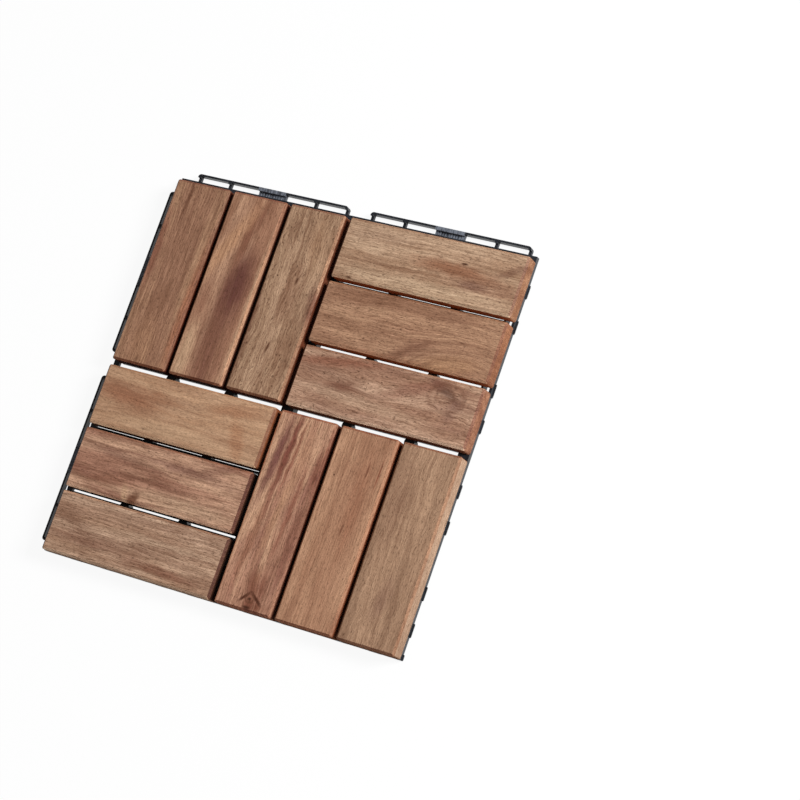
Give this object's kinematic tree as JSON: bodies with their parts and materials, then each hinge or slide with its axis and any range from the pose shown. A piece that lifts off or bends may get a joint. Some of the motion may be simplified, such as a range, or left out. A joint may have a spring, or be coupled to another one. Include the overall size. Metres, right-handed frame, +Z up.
{
  "type": "interlocking deck tile",
  "caption": "Square snap-together deck tile: twelve acacia slats in four quarter-turned squares, screwed from below to a black moulded grid with clip loops on two sides and tabs on two sides.",
  "frame": {"origin": "middle of the tile on the floor, the centre of the square between the outer slat edges", "axes": "+Z up out of the slats, +Y towards one loop side, +X towards one tab side (the other loop side is -X and the other tab side -Y)"},
  "size_m": [0.3074, 0.3065, 0.019],
  "materials": {
    "acacia": "oiled",
    "grid_plastic": "satin",
    "screw_steel": "zinc plated"
  },
  "bodies": {
    "root": {"base_grid": "grid_plastic", "slat_01": "acacia", "slat_02": "acacia", "slat_03": "acacia", "slat_04": "acacia", "slat_05": "acacia", "slat_06": "acacia", "slat_07": "acacia", "slat_08": "acacia", "slat_09": "acacia", "slat_10": "acacia", "slat_11": "acacia", "slat_12": "acacia", "screws": "screw_steel"}
  },
  "joints": []
}
